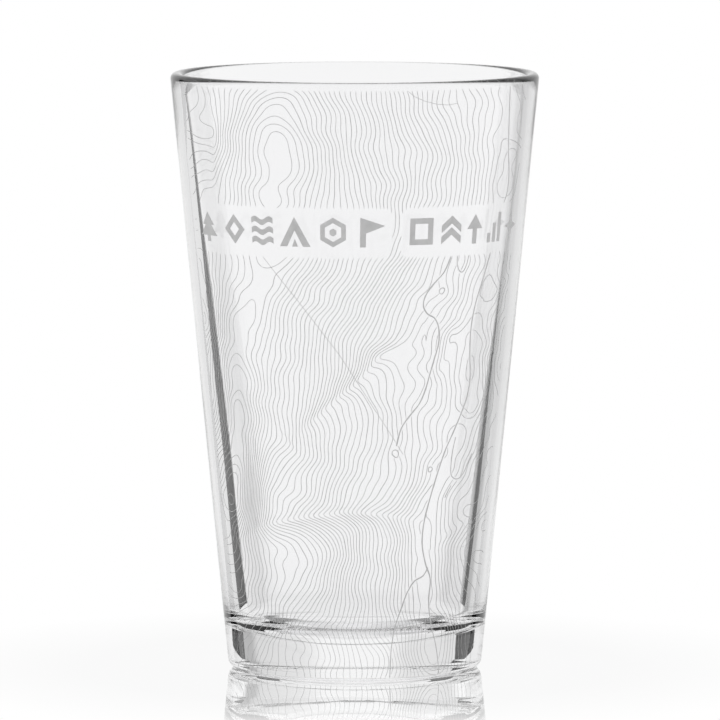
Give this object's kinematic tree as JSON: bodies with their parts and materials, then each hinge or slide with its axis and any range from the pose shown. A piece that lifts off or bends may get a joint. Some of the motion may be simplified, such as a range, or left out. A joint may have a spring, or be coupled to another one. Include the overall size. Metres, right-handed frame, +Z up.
{
  "type": "pint glass",
  "caption": "Tapered clear drinking glass with a thick base, rounded lip and a topographic contour print in fired grey enamel across the front and sides.",
  "frame": {"origin": "on the table at the middle of the foot", "axes": "+Z up along the axis of the glass; -Y faces the middle of the printed title; +X to its right"},
  "size_m": [0.089, 0.089, 0.1442],
  "materials": {
    "glass": "clear moulded soda-lime glass, fire-polished lip",
    "enamel": "thin fired-on grey enamel line, satin",
    "enamel_dark": "fired-on grey enamel, satin"
  },
  "bodies": {
    "root": {"glass_body": "glass", "contour_lines": "enamel", "index_contours": "enamel", "stream_lines": "enamel_dark", "shore_lines": "enamel_dark", "survey_lines": "enamel", "title_marks": "enamel_dark"}
  },
  "joints": []
}
